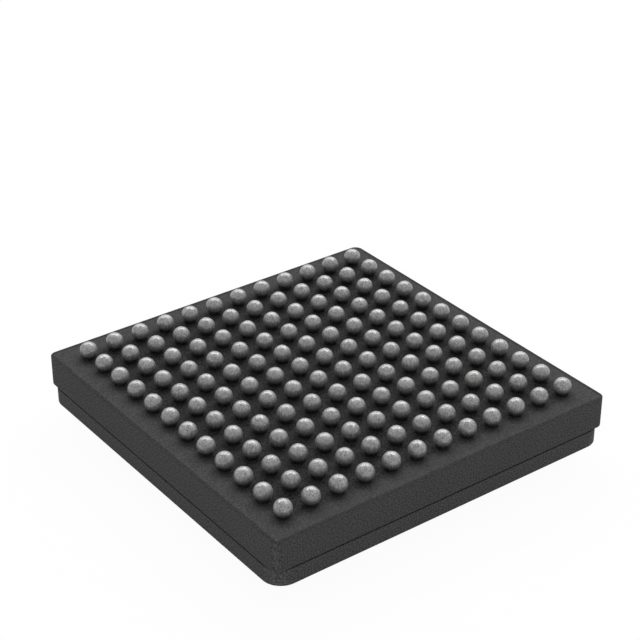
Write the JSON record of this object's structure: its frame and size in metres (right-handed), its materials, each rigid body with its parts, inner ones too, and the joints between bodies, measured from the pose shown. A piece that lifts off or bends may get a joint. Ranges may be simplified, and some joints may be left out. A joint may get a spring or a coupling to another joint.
{
  "type": "ball grid array chip",
  "caption": "Square ball grid array chip lying balls up on its moulded cap, whose raised pedestal holds the die and bond wires; a full square grid of solder balls covers the board.",
  "frame": {"origin": "centre of the flat pedestal face of the mould cap, which the chip rests on", "axes": "+Z from the mould cap towards the solder balls; +X along a row of balls from ball 1, +Y from row A to row M"},
  "size_m": [0.013, 0.013, 0.003],
  "materials": {
    "laminate": "matte printed mask",
    "mould_compound": "matte, fine grained",
    "solder": "satin, mottled",
    "silicon": "polished",
    "die_adhesive": "silver filled",
    "copper": "bare copper",
    "plated_copper": "gold plated",
    "gold_wire": "drawn wire"
  },
  "bodies": {
    "root": {"board": "laminate", "mould_cap": "mould_compound", "die": "silicon", "die_attach": "die_adhesive", "die_paddle": "copper", "bond_fingers": "plated_copper", "bond_wires_right": "gold_wire", "bond_wires_left": "gold_wire", "bond_wires_front": "gold_wire", "bond_wires_back": "gold_wire", "ball_lands": "copper", "solder_balls_row_a": "solder", "solder_balls_row_b": "solder", "solder_balls_row_c": "solder", "solder_balls_row_d": "solder", "solder_balls_row_e": "solder", "solder_balls_row_f": "solder", "solder_balls_row_g": "solder", "solder_balls_row_h": "solder", "solder_balls_row_j": "solder", "solder_balls_row_k": "solder", "solder_balls_row_l": "solder", "solder_balls_row_m": "solder"}
  },
  "joints": []
}
